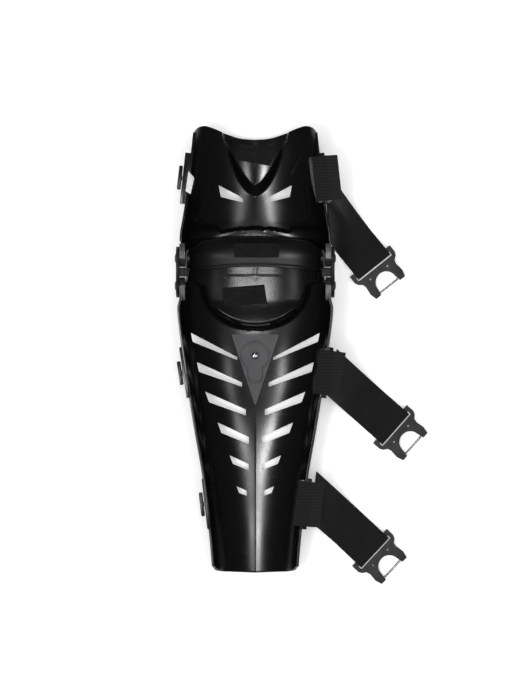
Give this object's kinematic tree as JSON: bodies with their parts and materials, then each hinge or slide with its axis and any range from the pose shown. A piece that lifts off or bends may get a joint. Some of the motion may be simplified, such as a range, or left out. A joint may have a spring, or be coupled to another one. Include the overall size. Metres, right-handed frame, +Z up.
{
  "type": "motorcycle knee guard",
  "caption": "Hard-shell knee and shin guard with jointed side links, vented shin shell and elastic straps with hook buckles, lying on its outer face.",
  "frame": {"origin": "on the ground under the middle of the whole guard as it lies", "axes": "+Z up towards the leg side, +Y along the guard towards the thigh, +X towards the straps"},
  "size_m": [0.2796, 0.5056, 0.06],
  "materials": {
    "shell": "satin moulded",
    "badge": "fine matt grain",
    "webbing": "ribbed elastic weave",
    "hook_and_loop": "hook and loop pile",
    "buckle": "fine matt grain",
    "steel": "polished"
  },
  "bodies": {
    "shin": {"shin_plate": "shell", "badge_plate": "badge", "badge_screw": "steel", "patch_bowl": "hook_and_loop", "stud_shin_upper": "shell", "stud_shin_lower": "shell", "loop_shin_upper": "webbing", "loop_shin_lower": "webbing", "strap_shin_upper": "webbing", "strap_shin_lower": "webbing", "buckle_shin_upper": "buckle", "buckle_shin_lower": "buckle", "pin_shin_upper": "steel", "pin_shin_lower": "steel"},
    "knee": {"knee_plate": "shell", "patch_knee": "hook_and_loop", "link_left": "shell", "link_right": "shell", "rivet_left_upper": "steel", "rivet_left_lower": "steel", "rivet_right_upper": "steel", "rivet_right_lower": "steel"},
    "thigh": {"thigh_plate": "shell", "patch_thigh": "hook_and_loop", "stud_thigh": "shell", "loop_thigh": "webbing", "strap_thigh": "webbing", "buckle_thigh": "buckle", "pin_thigh": "steel"}
  },
  "joints": [
    {"name": "lower_pivot", "type": "hinge", "parent": "shin", "child": "knee", "pos_m": [-0.0515, 0.07768, 0.042], "axis": [1, 0, 0], "range_deg": [0, 35]},
    {"name": "upper_pivot", "type": "hinge", "parent": "knee", "child": "thigh", "pos_m": [-0.0515, 0.10768, 0.042], "axis": [1, 0, 0], "range_deg": [0, 45]}
  ]
}
